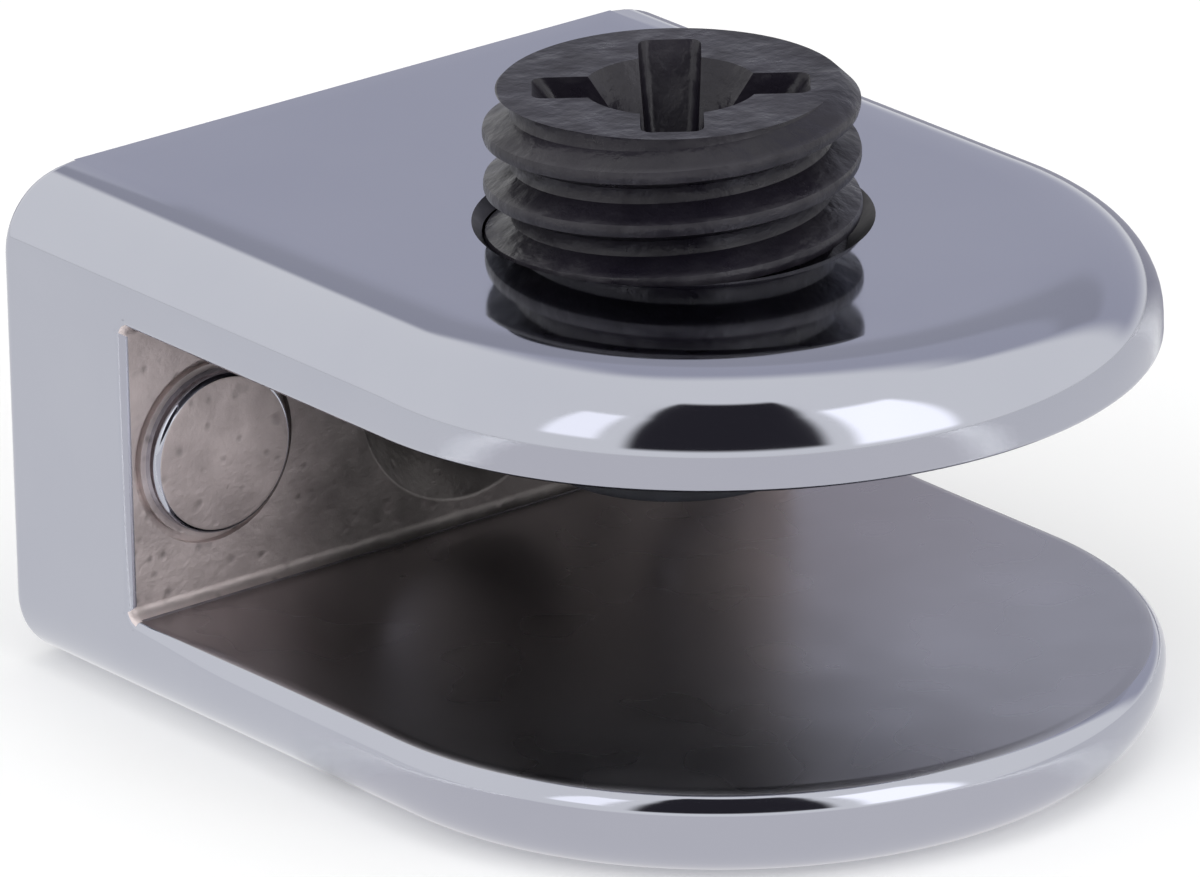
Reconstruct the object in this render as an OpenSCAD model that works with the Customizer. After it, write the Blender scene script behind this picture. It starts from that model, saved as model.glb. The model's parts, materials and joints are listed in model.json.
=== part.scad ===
// Glass panel clamp: a cast fork that holds the edge of a pane, a threaded
// clamping screw through its upper jaw, and the soft pad on the screw's tip.
// Millimetres. The origin is on the axis of the fixing hole at the back face,
// level with the middle of the slot: +X along the width, +Y out of the back
// face, +Z up. The nose points to -Y.

/* [Body] */
// Width of the fork across its two straight sides
body_w = 27.6; // [26:0.2:36]
// Length from the back face to the tip of the round nose
body_l = 33.8; // [32:0.2:44]
// Height of the slot that takes the pane
slot_h = 10; // [9:0.5:14]
// Thickness of the upper jaw
upper_t = 3.4; // [3.2:0.1:5]
// Thickness of the lower jaw
lower_t = 3.2; // [3.2:0.1:5]
// Thickness of the back wall
back_t = 6.4; // [5.5:0.1:8]

/* [Edges] */
// Round along the outer edge of the upper jaw
edge_r = 2.5; // [1:0.1:2.6]
// Round along the outer edge of the lower jaw
lower_edge_r = 2.3; // [1:0.1:2.3]
// Round along the slot's rim on the upper jaw and on the back wall
rim_r = 0.3; // [0.1:0.1:0.4]
// Round along the slot's rim on the lower jaw
lower_rim_r = 0.8; // [0.4:0.1:0.8]
// Round of the two upright corners of the back
back_r = 0.7; // [0.3:0.1:2]
// Fillet in the two inner corners of the slot
slot_r = 0.4; // [0.2:0.1:0.8]

/* [Clamping screw] */
// Distance from the back face to the screw's axis
screw_y = 17.4; // [15.5:0.1:20]
// Diameter over the crests of the thread
screw_d = 12; // [11.4:0.1:13]
// Length of the screw without its pad
screw_l = 11.6; // [11:0.1:12.2]
// Height of the screw above the upper jaw
screw_out = 4.4; // [3.4:0.1:5]
// Pitch of the thread
pitch = 1.75; // [1.65:0.05:2]
// Depth of the thread from crest to root
thread_depth = 0.9; // [0.7:0.05:0.95]
// Width of the flat along the thread's crest
crest_w = 0.3; // [0.2:0.05:0.35]
// Slope of the thread's flanks
flank_angle = 30; // [26:1:31]
// Height of a crest above the upper jaw, on the +X side of the screw
crest_rise = 0.56; // [0:0.02:1.5]
// Clearance between the two threads at crest and root
thread_gap = 0.1; // [0.08:0.01:0.14]
// Clearance between the two threads at each flank
flank_gap = 0.06; // [0.05:0.01:0.08]
// Bevel on both ends of the screw
screw_bevel = 0.5; // [0.4:0.1:1]
// Bevel at both mouths of the threaded hole
hole_bevel = 0.5; // [0.2:0.1:0.7]

/* [Cross recess] */
// Width of the cross recess from arm tip to arm tip
recess_d = 8.8; // [7:0.1:9]
// Width of the funnel in the middle of the recess, at the top
recess_core_d = 5.6; // [4:0.1:6]
// Width of one arm of the cross
recess_w = 2; // [1.4:0.1:2.4]
// Depth of the cross recess
recess_depth = 3.4; // [2:0.1:3.8]
// Width across the arm tips at the bottom of the recess
recess_foot_d = 4; // [3:0.1:5]
// Angle between one arm of the cross and the width of the fork
recess_turn = 52; // [0:1:90]

/* [Pressure pad] */
// Thickness of the pad under the screw's tip
pad_t = 0.8; // [0.5:0.1:1.2]
// How far the pad's edge stays inside the root of the thread
pad_step = 0.7; // [0.4:0.1:1.2]
// Diameter of the pad's stem
stem_d = 3.2; // [2.4:0.1:3.6]
// Length of the pad's stem
stem_l = 3; // [2.4:0.1:3.4]
// Height of the bead that keeps the stem in the screw
bead_h = 0.3; // [0.2:0.05:0.4]
// Running clearance between the pad and the screw
pad_gap = 0.08; // [0.05:0.01:0.1]

/* [Fixing hole] */
// Diameter of the countersunk hole for the wall screw
fix_d = 4.5; // [3.5:0.1:5]
// Diameter of its countersink
fix_head_d = 8.4; // [7:0.1:8.8]

/* [Cast discs] */
// Diameter of the two raised discs on the slot's end wall
disc_d = 5.4; // [4:0.1:5.6]
// Height of the discs above the wall
disc_h = 0.6; // [0.3:0.1:0.9]
// Distance from the side of the fork to a disc's centre
disc_inset = 3.55; // [3.45:0.05:4.4]
// Distance from a disc's edge to the fine ring round it
ring_step = 0.2; // [0.1:0.05:0.3]
// Width of the fine ring
ring_w = 0.25; // [0.15:0.05:0.3]
// Depth of the fine ring
ring_depth = 0.25; // [0.1:0.05:0.4]

/* [Hidden] */
$fn = 96;
// Steps per turn of the thread
turn_steps = 36;
// How far a cut runs past the surface that it opens
over = 1;

half_w = body_w / 2;
nose_y = body_l - half_w;
slot_top = slot_h / 2;
slot_foot = -slot_h / 2;
body_top = slot_top + upper_t;
body_foot = slot_foot - lower_t;
body_h = body_top - body_foot;

screw_r = screw_d / 2;
root_r = screw_r - thread_depth;
flank_slope = tan(flank_angle);
screw_top = body_top + screw_out;
screw_foot = screw_top - screw_l;
// A crest of the thread passes this height on the +X side
crest_z = body_top + crest_rise;

pad_r = root_r - pad_step;
pad_top = screw_foot - pad_gap;
stem_r = stem_d / 2;
stem_end = pad_top + stem_l;
bead_z = stem_end - 2 * bead_h;

disc_x = half_w - disc_inset;

// The waste of a rounded edge, whose corner lies at the origin of the plane
// and whose solid side is towards -x and -y.
module edge_waste(r) {
    difference() {
        translate([-r, -r]) square(r + over);
        translate([-r, -r]) circle(r);
    }
}

// Half the section of a jaw, from its middle to its side. y = 0 is its outer
// face, rounded by outer_r, and y = t its face in the slot, rounded by inner_r.
module jaw_half(t, outer_r, inner_r) {
    difference() {
        square([half_w, t]);
        translate([half_w, 0]) mirror([0, 1]) edge_waste(outer_r);
        translate([half_w, t]) edge_waste(inner_r);
    }
}

// A jaw lying on its outer face: the straight part, then the half-round nose.
module jaw(t, outer_r, inner_r) {
    rotate([90, 0, 0]) linear_extrude(nose_y) {
        jaw_half(t, outer_r, inner_r);
        mirror([1, 0]) jaw_half(t, outer_r, inner_r);
    }
    translate([0, -nose_y, 0]) rotate([0, 0, 180])
        rotate_extrude(angle = 180) jaw_half(t, outer_r, inner_r);
}

// The back wall between the jaws, with the slot's two upright rims rounded.
module back_wall() {
    height = lower_rim_r + slot_h + rim_r;
    translate([0, 0, slot_foot - lower_rim_r]) linear_extrude(height) difference() {
        translate([-half_w, -back_t]) square([body_w, back_t]);
        for (side = [0, 1]) {
            mirror([side, 0]) translate([half_w, -back_t]) mirror([0, 1]) edge_waste(rim_r);
        }
    }
}

// The small fillets where the end wall of the slot meets the two jaws.
module slot_fillets() {
    length = body_w - 2 * rim_r;
    sunk = slot_r / 2;
    for (up = [0, 1]) {
        mirror([0, 0, up])
            translate([-length / 2, -back_t, slot_foot])
            rotate([90, 0, 90])
            linear_extrude(length)
            difference() {
                translate([-slot_r, -sunk]) square(slot_r + sunk);
                translate([-slot_r, slot_r]) circle(slot_r);
            }
    }
}

// What is placed at each end of the slot's end wall, facing out of the slot.
module at_discs() {
    for (side = [-1, 1]) {
        translate([side * disc_x, -back_t, 0]) rotate([90, 0, 0]) children();
    }
}

// A raised disc with a rounded edge, sunk a little into the wall behind it.
module disc() {
    soft = disc_h / 2;
    rotate_extrude() difference() {
        translate([0, -disc_h]) square([disc_d / 2, 2 * disc_h]);
        translate([disc_d / 2, disc_h]) edge_waste(soft);
    }
}

// The fine ring round a disc.
module disc_ring() {
    inner = disc_d / 2 + ring_step;
    rotate_extrude() translate([inner, -ring_depth]) square([ring_w, ring_depth + over]);
}

// The countersunk hole for the wall screw, from the slot through the back.
module fixing_hole() {
    sink = (fix_head_d - fix_d) / 2;
    translate([0, -back_t, 0]) rotate([-90, 0, 0]) {
        translate([0, 0, -over]) cylinder(d = fix_d, h = back_t + 2 * over);
        translate([0, 0, -over]) cylinder(d = fix_head_d + 2 * over, h = over);
        cylinder(d1 = fix_head_d, d2 = fix_d, h = sink);
    }
}

// A helical bar with a constant section, as a closed solid. section lists
// [radius, height] points anticlockwise, and its height 0 follows the crest
// that passes crest_z on the +X side. It fills from z_low to z_high.
module helix(section, z_low, z_high) {
    count = len(section);
    first = floor((z_low - crest_z) / pitch * turn_steps);
    last = ceil((z_high - crest_z) / pitch * turn_steps);
    points = [
        for (step = [first:last], p = section)
            let (a = 360 * step / turn_steps)
            [p[0] * cos(a), p[0] * sin(a), crest_z + pitch * step / turn_steps + p[1]]
    ];
    sides = [
        for (i = [0:last - first - 1], k = [0:count - 1])
            let (a = i * count + k, b = i * count + (k + 1) % count)
            each [[a, b, a + count], [b, b + count, a + count]]
    ];
    start = [for (k = [count - 1:-1:0]) k];
    end = [for (k = [0:count - 1]) (last - first) * count + k];
    polyhedron(points = points, faces = concat([start], sides, [end]), convexity = 10);
}

// The section of a thread ridge whose crest lies at radius crest and whose
// foot lies at radius foot, made wider by gap at each flank.
function ridge(crest, foot, gap) =
    let (
        half_crest = crest_w / 2 - (crest - screw_r) * flank_slope + gap,
        half_foot = crest_w / 2 + (screw_r - foot) * flank_slope + gap
    )
    [[foot, -half_foot], [crest, -half_crest], [crest, half_crest], [foot, half_foot]];

// The threaded hole in the upper jaw, with a bevel at both mouths.
module screw_hole() {
    hole_r = root_r + thread_gap;
    wide_r = screw_r + hole_bevel + over;
    bevel_h = wide_r - hole_r;
    translate([0, -screw_y, 0]) {
        translate([0, 0, slot_top - over]) {
            cylinder(r = hole_r, h = upper_t + 2 * over);
            cylinder(r1 = wide_r, r2 = hole_r, h = bevel_h);
        }
        translate([0, 0, body_top + over - bevel_h]) cylinder(r1 = hole_r, r2 = wide_r, h = bevel_h);
        helix(ridge(screw_r + thread_gap, root_r, flank_gap), slot_top - pitch, body_top + pitch);
    }
}

// The fork: two jaws and the wall between them, cast in one piece.
module clamp_body() {
    color("silver") difference() {
        union() {
            translate([0, 0, body_foot]) jaw(lower_t, lower_edge_r, lower_rim_r);
            translate([0, 0, body_top]) mirror([0, 0, 1]) jaw(upper_t, edge_r, rim_r);
            back_wall();
            slot_fillets();
            at_discs() disc();
        }
        for (side = [0, 1]) {
            translate([0, 0, body_foot - over]) linear_extrude(body_h + 2 * over)
                mirror([side, 0]) translate([half_w, 0]) edge_waste(back_r);
        }
        at_discs() disc_ring();
        fixing_hole();
        screw_hole();
    }
}

// The cross recess in the top of the screw: two crossed arms that narrow
// towards the bottom, round a funnel that leads the driver in.
module cross_recess() {
    recess_foot = screw_top - recess_depth;
    intersection() {
        for (turn = [0, 90]) {
            rotate([0, 0, recess_turn + turn])
                translate([-recess_d, -recess_w / 2, recess_foot])
                cube([2 * recess_d, recess_w, recess_depth + over]);
        }
        translate([0, 0, recess_foot]) recess_cone(recess_foot_d, recess_d);
    }
    translate([0, 0, recess_foot]) recess_cone(recess_w, recess_core_d);
}

// A cone from the foot of the recess that is wide_d across at the top of the
// screw, and goes on above it.
module recess_cone(foot_d, wide_d) {
    growth = (wide_d - foot_d) / recess_depth;
    cylinder(d1 = foot_d, d2 = wide_d + growth * over, h = recess_depth + over);
}

// The clamping screw: a solid thread with a cross recess in its top and a
// stepped bore in its tip for the stem of the pad.
module clamp_screw() {
    color("dimgray") translate([0, -screw_y, 0]) difference() {
        union() {
            translate([0, 0, screw_foot]) cylinder(r = root_r, h = screw_l);
            intersection() {
                helix(ridge(screw_r, root_r - thread_gap, 0),
                    screw_foot - pitch, screw_top + pitch);
                screw_blank();
            }
        }
        cross_recess();
        stem_bore();
    }
}

// The bar that the thread is cut on, with both ends bevelled.
module screw_blank() {
    wide = screw_r + over;
    bevel = screw_bevel + over;
    translate([0, 0, screw_foot]) {
        cylinder(r1 = screw_r - screw_bevel, r2 = wide, h = bevel);
        translate([0, 0, bevel]) cylinder(r = wide, h = screw_l - 2 * bevel);
        translate([0, 0, screw_l - bevel]) cylinder(r1 = wide, r2 = screw_r - screw_bevel, h = bevel);
    }
}

// The bore for the pad's stem, wider where the bead turns.
module stem_bore() {
    translate([0, 0, screw_foot - over]) cylinder(r = stem_r + pad_gap, h = stem_l + over);
    translate([0, 0, bead_z - bead_h - pad_gap])
        cylinder(r = stem_r + bead_h + pad_gap, h = 3 * bead_h + 2 * pad_gap);
}

// The soft pad that presses on the pane, with the stem that it turns on.
module pressure_pad() {
    pad_foot = pad_top - pad_t;
    soft = pad_t / 2;
    color("black") translate([0, -screw_y, 0]) rotate_extrude() {
        difference() {
            translate([0, pad_foot]) square([pad_r, pad_t]);
            translate([pad_r, pad_foot]) mirror([0, 1]) edge_waste(soft);
        }
        translate([0, pad_foot + soft]) square([stem_r, stem_end - pad_foot - soft]);
        translate([0, bead_z - bead_h]) polygon([
            [0, 0],
            [stem_r, 0],
            [stem_r + bead_h, bead_h],
            [stem_r, 2 * bead_h],
            [0, 2 * bead_h]
        ]);
    }
}

clamp_body();
pressure_pad();
clamp_screw();
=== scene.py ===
# %% [markdown]
# # A chrome glass clamp
# This lesson dresses a small wall clamp for a pane of glass. The real thing is a
# zinc casting with a bright chrome skin, a black plastic screw that presses on the
# pane, and a soft pad under the screw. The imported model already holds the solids
# at their true size. Here each one gets a finely rounded mesh and a finish.
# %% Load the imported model
import json
import math

import bmesh
import bpy
from mathutils import Matrix, Vector


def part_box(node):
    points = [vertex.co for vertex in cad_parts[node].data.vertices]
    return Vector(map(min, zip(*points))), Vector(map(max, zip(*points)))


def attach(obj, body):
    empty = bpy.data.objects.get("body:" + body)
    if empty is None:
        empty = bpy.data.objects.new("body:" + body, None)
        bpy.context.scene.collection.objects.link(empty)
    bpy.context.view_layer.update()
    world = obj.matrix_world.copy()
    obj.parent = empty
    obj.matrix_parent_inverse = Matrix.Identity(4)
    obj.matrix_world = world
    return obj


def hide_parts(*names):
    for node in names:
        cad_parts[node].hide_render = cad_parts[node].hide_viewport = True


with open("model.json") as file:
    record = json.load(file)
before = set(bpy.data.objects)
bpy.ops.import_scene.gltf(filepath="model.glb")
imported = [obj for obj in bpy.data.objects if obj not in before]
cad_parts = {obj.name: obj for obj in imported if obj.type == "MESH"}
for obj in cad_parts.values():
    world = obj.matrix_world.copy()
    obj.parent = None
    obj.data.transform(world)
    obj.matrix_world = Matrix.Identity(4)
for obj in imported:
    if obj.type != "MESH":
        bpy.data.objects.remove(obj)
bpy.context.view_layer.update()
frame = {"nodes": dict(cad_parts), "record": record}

MOUNTS = {mount["name"]: mount for mount in frame["record"]["mounts"]}
MM = 0.001
print("nodes:", sorted(frame["nodes"]))

# %% [markdown]
# ## The sizes
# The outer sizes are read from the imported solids, so a new size there moves the
# mesh too. What the boxes can't tell, such as a fillet, is named here in metres.
# %% Name the sizes of the fork
fork_low, fork_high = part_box("clamp_body")
HALF_W = fork_high.x
NOSE_Y = fork_low.y + HALF_W
SLOT_FOOT = MOUNTS["pane_seat"]["pos_m"][2]
SLOT_TOP = -SLOT_FOOT
WALL_Y = -6.4 * MM
EDGE_R = 2.5 * MM
LOWER_EDGE_R = 2.3 * MM
BACK_R = 0.5 * MM
RIM_R = 0.3 * MM
LOWER_RIM_R = 0.8 * MM
SLOT_R = 0.4 * MM
FIX_R = MOUNTS["fixing_hole"]["dims"]["r_mm"] * MM
FIX_HEAD_R = 4.2 * MM
DISC_R = 2.7 * MM
DISC_H = 0.6 * MM
DISC_X = HALF_W - 3.55 * MM
RING_R = DISC_R + 0.2 * MM
RING_W = 0.25 * MM
print(f"fork {HALF_W / MM * 2:.1f} mm wide, slot {(SLOT_TOP - SLOT_FOOT) / MM:.1f} mm high")

# %% Name the sizes of the screw and its pad
screw_low, screw_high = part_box("clamp_screw")
pad_low, pad_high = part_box("pressure_pad")
SCREW_Y = MOUNTS["pane_seat"]["pos_m"][1]
SCREW_R = 6.0 * MM
ROOT_R = 5.1 * MM
SCREW_TOP = screw_high.z
SCREW_FOOT = screw_low.z
PITCH = 1.75 * MM
CREST_W = 0.3 * MM
FLANK = math.radians(30)
CREST_Z = fork_high.z + 0.56 * MM
THREAD_GAP = 0.1 * MM
PAD_R = pad_high.x
print(f"screw {(SCREW_TOP - SCREW_FOOT) / MM:.1f} mm long, pad {PAD_R / MM * 2:.1f} mm across")

# %% [markdown]
# ## Small helpers
# A bmesh is built first and turned into an object last. `keep` does that last
# step: it closes doubled points, points the faces outwards and shades every
# edge smooth that turns less than the given angle.
# %% Turn a bmesh into an object
def keep(bm, name, sharp=40, weld=1e-7):
    bmesh.ops.remove_doubles(bm, verts=bm.verts, dist=weld)
    bmesh.ops.recalc_face_normals(bm, faces=bm.faces)
    for face in bm.faces:
        face.smooth = True
    for edge in bm.edges:
        if len(edge.link_faces) == 2:
            edge.smooth = edge.calc_face_angle() < math.radians(sharp)
    mesh = bpy.data.meshes.new(name)
    bm.to_mesh(mesh)
    bm.free()
    obj = bpy.data.objects.new(name, mesh)
    bpy.context.scene.collection.objects.link(obj)
    return obj


# %% [markdown]
# Holes, discs and pads are lathe work: half of the section is drawn as a chain of
# points beside the axis, and spun a full turn round it.
# %% Spin a section round an axis
def lathe(section, centre, axis=(0, 0, 1), side=(1, 0, 0), steps=96):
    """Spins [(radius, height), ...] a full turn round an axis through centre."""
    bm = bmesh.new()
    places = [Vector(centre) + r * Vector(side) + h * Vector(axis) for r, h in section]
    verts = [bm.verts.new(place) for place in places]
    edges = [bm.edges.new(pair) for pair in zip(verts, verts[1:])]
    bmesh.ops.spin(
        bm, geom=verts + edges, cent=centre, axis=axis, angle=math.tau,
        steps=steps, use_merge=True,
    )
    return bm


# %% [markdown]
# A drilled or turned shape is taken from, or added to, a finished piece with a
# Boolean modifier. The result is copied to a plain mesh at once, so the next cut
# starts from clean faces and the tool can go.
# %% Carve one piece with another
def make_real(piece):
    """Swaps a piece's mesh for what its modifiers make of it."""
    bpy.context.view_layer.update()
    graph = bpy.context.evaluated_depsgraph_get()
    made = bpy.data.meshes.new_from_object(piece.evaluated_get(graph))
    piece.modifiers.clear()
    before = piece.data
    piece.data = made
    bpy.data.meshes.remove(before)


def carve(piece, tool, operation="DIFFERENCE"):
    step = piece.modifiers.new("carve", "BOOLEAN")
    step.operation = operation
    step.solver = "EXACT"
    step.object = tool
    make_real(piece)
    bpy.data.objects.remove(tool, do_unlink=True)
    print(f"{piece.name} after {operation.lower()}: {len(piece.data.polygons)} faces")


# %% [markdown]
# Bevels take most of the arguments the editor fills in by itself, so one helper
# holds them. The profile of 0.5 is a true quarter round.
# %% Round edges
def soften(bm, edges, radius, segments):
    bmesh.ops.bevel(
        bm, geom=edges, offset=radius, offset_type="OFFSET", affect="EDGES",
        segments=segments, profile=0.5, material=-1, clamp_overlap=False,
    )


def level(edge, axis, value, slack=1e-6):
    """True where both ends of an edge have the given coordinate."""
    return all(abs(vert.co[axis] - value) < slack for vert in edge.verts)


# %% [markdown]
# ## The fork
# The casting is a thick D seen from above, open in the middle for the pane. A
# vertex spun half a turn draws the round nose, two more corners close the D, and
# an extrusion makes it a solid block.
# %% Draw the D and raise it
NOSE_STEPS = 128


def d_block():
    bm = bmesh.new()
    start = bm.verts.new((HALF_W, NOSE_Y, fork_low.z))
    bmesh.ops.spin(
        bm, geom=[start], cent=(0, NOSE_Y, 0), axis=(0, 0, -1), angle=math.pi,
        steps=NOSE_STEPS,
    )
    ends = [vert for vert in bm.verts if len(vert.link_edges) == 1]
    corners = bmesh.ops.extrude_vert_indiv(bm, verts=ends)["verts"]
    bmesh.ops.translate(bm, vec=(0, -NOSE_Y, 0), verts=corners)
    bm.edges.new(corners)
    outline = bmesh.ops.contextual_create(bm, geom=bm.edges[:])["faces"]
    raised = bmesh.ops.extrude_face_region(bm, geom=outline)["geom"]
    tops = [item for item in raised if isinstance(item, bmesh.types.BMVert)]
    bmesh.ops.translate(bm, vec=(0, 0, fork_high.z - fork_low.z), verts=tops)
    bmesh.ops.recalc_face_normals(bm, faces=bm.faces)
    return bm


# %% [markdown]
# The slot is opened by cutting only the sides of the block at three planes: the
# floor and the ceiling of the slot, and its end wall. The strip between them is
# taken away, and the three flat faces of the slot are filled in.
# %% Open the slot
def sides_of(bm):
    """The upright faces apart from the back, with their edges and vertices."""
    faces = [f for f in bm.faces if abs(f.normal.z) < 0.5 and f.normal.y < 0.5]
    edges = {edge for face in faces for edge in face.edges}
    verts = {vert for face in faces for vert in face.verts}
    return faces + list(edges) + list(verts)


def open_slot(bm):
    planes = [((0, 0, SLOT_FOOT), (0, 0, 1)), ((0, 0, SLOT_TOP), (0, 0, 1)), ((0, WALL_Y, 0), (0, 1, 0))]
    for point, normal in planes:
        bmesh.ops.bisect_plane(
            bm, geom=sides_of(bm), dist=1e-7, plane_co=point, plane_no=normal,
        )
        bm.normal_update()
    strip = [
        face for face in bm.faces
        if abs(face.calc_center_median().z) < SLOT_TOP and face.calc_center_median().y < WALL_Y
    ]
    bmesh.ops.delete(bm, geom=strip, context="FACES")
    corners = {}
    for vert in bm.verts:
        if abs(vert.co.y - WALL_Y) < 1e-6 and abs(abs(vert.co.z) - SLOT_TOP) < 1e-6:
            corners[vert.co.x > 0, vert.co.z > 0] = vert
    open_edges = [edge for edge in bm.edges if edge.is_boundary]
    uprights = [edge for edge in open_edges if level(edge, 1, WALL_Y)]
    walls = []
    for upper in (False, True):
        height = SLOT_TOP if upper else SLOT_FOOT
        rim = [edge for edge in open_edges if level(edge, 2, height)]
        walls.append(bm.edges.new((corners[False, upper], corners[True, upper])))
        bmesh.ops.contextual_create(bm, geom=rim + walls[-1:])
    bmesh.ops.contextual_create(bm, geom=uprights + walls)
    bmesh.ops.recalc_face_normals(bm, faces=bm.faces)


# %% [markdown]
# A casting has no sharp edge. The long outer edges of both jaws carry a full round
# and are bevelled first. Then come the two inner corners of the slot.
# %% Round the outer edges
def outer_edges(bm, height):
    return [edge for edge in bm.edges if level(edge, 2, height) and not level(edge, 1, 0)]


fork_bm = d_block()
open_slot(fork_bm)
soften(fork_bm, outer_edges(fork_bm, fork_high.z), EDGE_R, 14)
soften(fork_bm, outer_edges(fork_bm, fork_low.z), LOWER_EDGE_R, 14)
print("with rounded edges:", len(fork_bm.faces), "faces")

# %% [markdown]
# A buffing wheel never leaves a flat quite flat: it wears the last few millimetres
# before an edge. The top gets four narrow rings there, and every vertex near the
# outline sinks a little, the more the nearer it lies.
# %% Wear the top towards its edge
WORN_FROM = 3.8 * MM
WORN_MOST = 2.5 * MM
WORN_TO = 1.5 * MM
WORN_SLOPE = 0.114


def worn(place):
    """How far the surface has sunk at a place near the outline."""
    beside_nose = min(0, place.y - NOSE_Y)
    inward = HALF_W - math.hypot(place.x, beside_nose)
    first = min(max(WORN_FROM - inward, 0), WORN_FROM - WORN_MOST)
    second = min(max(WORN_MOST - inward, 0), WORN_MOST - WORN_TO)
    sunk = first ** 2 / (2 * (WORN_FROM - WORN_MOST))
    return WORN_SLOPE * (sunk + second - second ** 2 / (2 * (WORN_MOST - WORN_TO)))


top = max(fork_bm.faces, key=lambda face: face.calc_center_median().z)
for ring in range(4):
    width = (WORN_FROM - WORN_MOST) / 4
    bmesh.ops.inset_region(fork_bm, faces=[top], thickness=width, use_even_offset=True)
for vert in fork_bm.verts:
    if vert.co.z > SLOT_TOP + 0.5 * MM:
        vert.co.z -= worn(vert.co)
print("with a worn top:", len(fork_bm.faces), "faces")

# %% [markdown]
# The inner corners and the back outline are plain bevels. The rim of the slot is
# one closed chain of sharp edges. It is wide along the lower jaw and runs out to a
# fine rim at the wall, so a Bevel modifier reads each width from a weight.
# %% Round the slot and the back
RUN_OUT = 5 * MM


def rim_width(edge):
    """Full round the nose of the lower jaw, running out along its sides."""
    middle = (edge.verts[0].co + edge.verts[1].co) / 2
    if middle.z > SLOT_FOOT + 1e-6:
        return RIM_R
    share = min(1, max(0, WALL_Y - SLOT_R - middle.y) / RUN_OUT)
    return RIM_R + (LOWER_RIM_R - RIM_R) * share ** 2 * (3 - 2 * share)


def on_rim(edge):
    ends = [vert.co for vert in edge.verts]
    beside_slot = all(abs(end.z) < SLOT_TOP + 1e-6 and end.y < WALL_Y + 1e-6 for end in ends)
    return beside_slot and edge.calc_face_angle(0) > math.radians(60)


inner = [edge for edge in fork_bm.edges if level(edge, 1, WALL_Y) and level(edge, 2, edge.verts[0].co.z)]
soften(fork_bm, inner, SLOT_R, 5)
soften(fork_bm, [edge for edge in fork_bm.edges if level(edge, 1, 0)], BACK_R, 5)
sides = [edge for edge in fork_bm.edges if level(edge, 2, SLOT_FOOT) and edge.calc_length() > RUN_OUT]
sides = [edge for edge in sides if on_rim(edge)]
bmesh.ops.subdivide_edges(fork_bm, edges=sides, cuts=23)
weight = fork_bm.edges.layers.float.new("bevel_weight_edge")
rims = [edge for edge in fork_bm.edges if on_rim(edge)]
for edge in rims:
    edge[weight] = rim_width(edge) / LOWER_RIM_R
fork = keep(fork_bm, "fork")
print("edges on the rim of the slot:", len(rims), "of them split sides:", 24 * len(sides))

# %% Bevel the rim of the slot
rim_bevel = fork.modifiers.new("rim", "BEVEL")
rim_bevel.limit_method = "WEIGHT"
rim_bevel.width = LOWER_RIM_R
rim_bevel.segments = 6
rim_bevel.use_clamp_overlap = False
make_real(fork)
print("fork before the holes:", len(fork.data.polygons), "faces")

# %% [markdown]
# The wall screw goes through a countersunk hole in the back wall. Its tool is a
# funnel that lies along Y: a wide mouth in the slot, then the cone, then the bore.
# %% Drill the fixing hole
sink = FIX_HEAD_R - FIX_R
funnel = [
    (0, -1 * MM), (FIX_HEAD_R + 0.12 * MM, -1 * MM), (FIX_HEAD_R + 0.12 * MM, 0),
    (FIX_HEAD_R, 0.1 * MM), (FIX_R, sink), (FIX_R, 8 * MM), (0, 8 * MM),
]
carve(fork, keep(lathe(funnel, (0, WALL_Y, 0), axis=(0, 1, 0), side=(1, 0, 0)), "funnel"))

# %% [markdown]
# Two raised discs sit at the ends of the end wall, each in a fine ring where the
# ejector of the mould pressed. The ring is cut first and the disc is added after.
# %% Raise the two discs
for side in (-1, 1):
    centre = (side * DISC_X, WALL_Y, 0)
    ring = [(RING_R, 0.25 * MM), (RING_R, -1 * MM), (RING_R + RING_W, -1 * MM), (RING_R + RING_W, 0.25 * MM)]
    ring_bm = lathe(ring + ring[:1], centre, axis=(0, 1, 0))
    carve(fork, keep(ring_bm, "ring_tool"))
    lip = 0.22 * MM
    arc = [math.radians(90 * i / 5) for i in range(6)]
    edge = [(DISC_R - lip + lip * math.sin(a), -DISC_H + lip - lip * math.cos(a)) for a in arc]
    disc = [(0, 0.3 * MM), (DISC_R, 0.3 * MM)] + edge[::-1] + [(0, -DISC_H)]
    carve(fork, keep(lathe(disc, centre, axis=(0, 1, 0)), "disc"), "UNION")

# %% [markdown]
# Both mouths of the screw hole are countersunk a little, so that the thread starts
# below the surface. A cone at each face of the jaw does it.
# %% Bevel the mouths of the screw hole
MOUTH_R = SCREW_R + 0.4 * MM
MOUTH_DEPTH = 1.3 * MM
for mouth, way in ((fork_high.z, 1), (SLOT_TOP, -1)):
    cone = [
        (0, -MOUTH_DEPTH), (MOUTH_R - MOUTH_DEPTH, -MOUTH_DEPTH),
        (MOUTH_R + 1 * MM, 1 * MM), (0, 1 * MM),
    ]
    tool = lathe(cone, (0, SCREW_Y, mouth), axis=(0, 0, way))
    carve(fork, keep(tool, "mouth_tool"))

# %% [markdown]
# ## The thread
# The screw and its hole share one thread form. One pitch of it is drawn as a
# chain of points, and spun up the axis with a lift at each step, so that every
# turn ends where the next one begins. Nearly doubled points are welded.
# %% Wind a thread
TURN_STEPS = 96


def thread_form(crest, root, gap):
    """Half a thread's pitch below and above its crest, as (radius, height) points."""
    half_crest = CREST_W / 2 + gap - (crest - SCREW_R) * math.tan(FLANK)
    half_root = CREST_W / 2 + gap + (SCREW_R - root) * math.tan(FLANK)
    ease = 0.08 * MM
    up = [
        (crest, 0),
        (crest, half_crest - ease),
        (crest - ease * 0.45, half_crest + ease * 0.6),
        (root + ease * 0.45, half_root - ease * 0.6),
        (root, half_root + ease),
        (root, PITCH / 2),
    ]
    return [(r, -h) for r, h in reversed(up[1:])] + up


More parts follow.
